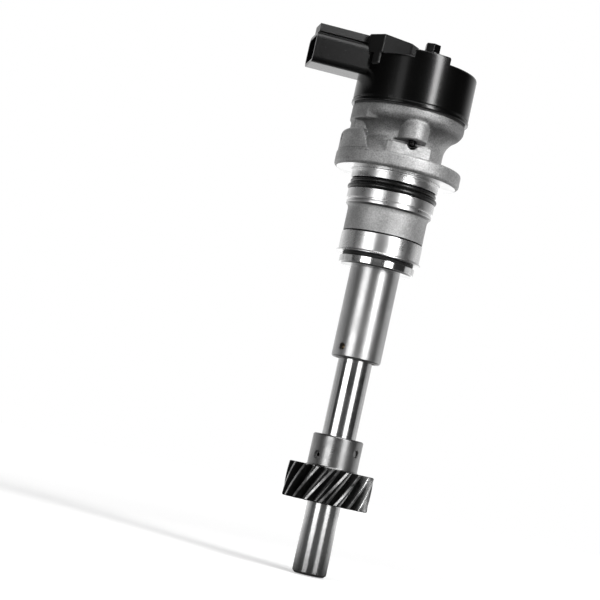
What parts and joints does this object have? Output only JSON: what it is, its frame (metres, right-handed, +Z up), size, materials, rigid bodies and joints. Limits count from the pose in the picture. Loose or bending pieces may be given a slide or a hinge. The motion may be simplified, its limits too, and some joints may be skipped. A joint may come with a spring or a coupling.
{
  "type": "camshaft synchronizer",
  "caption": "Camshaft synchronizer: a flanged aluminium housing with a gear-driven vertical shaft below and a black cam position sensor with a side connector on top.",
  "frame": {"origin": "centre of the flange's underside, on the shaft's axis, where the part seats on the engine", "axes": "+Z up the shaft's axis from the gear to the sensor, -X towards the sensor's connector"},
  "size_m": [0.0692, 0.0502, 0.211],
  "materials": {
    "cast_aluminium": "as cast with turned bands",
    "seal_rubber": "satin",
    "gasket_rubber": "matte",
    "bronze": "sintered, oiled",
    "hardened_washer": "ground",
    "black_moulding": "semi gloss",
    "board_laminate": "satin",
    "chip_package": "matte",
    "magnet_ferrite": "matte",
    "mild_steel": "machined",
    "plated_steel": "zinc plated",
    "brass_sleeve": "turned",
    "tinned_brass": "tinned",
    "ground_steel": "ground",
    "gear_steel": "oiled, dark",
    "spring_steel": "dark, tempered"
  },
  "bodies": {
    "housing_group": {"housing": "cast_aluminium", "seal_ring": "seal_rubber", "upper_bushing": "bronze", "lower_bushing": "bronze", "upper_thrust_washer": "hardened_washer", "lower_thrust_washer": "hardened_washer", "sensor_gasket": "gasket_rubber", "sensor_base": "black_moulding", "sensor_cap": "black_moulding", "circuit_board": "board_laminate", "hall_element": "chip_package", "magnet": "magnet_ferrite", "pole_piece": "mild_steel", "sensor_screws": "plated_steel", "screw_sleeves": "brass_sleeve", "terminal_1": "tinned_brass", "terminal_2": "tinned_brass", "terminal_3": "tinned_brass"},
    "rotor": {"shaft": "ground_steel", "drive_gear": "gear_steel", "roll_pin": "spring_steel", "lock_pin": "spring_steel", "retaining_ring": "spring_steel", "vane_hub": "mild_steel", "vane_cup": "plated_steel"}
  },
  "joints": [
    {"name": "shaft_spin", "type": "hinge", "parent": "housing_group", "child": "rotor", "pos_m": [0, 0, 0], "axis": [0, 0, 1], "continuous": true}
  ]
}
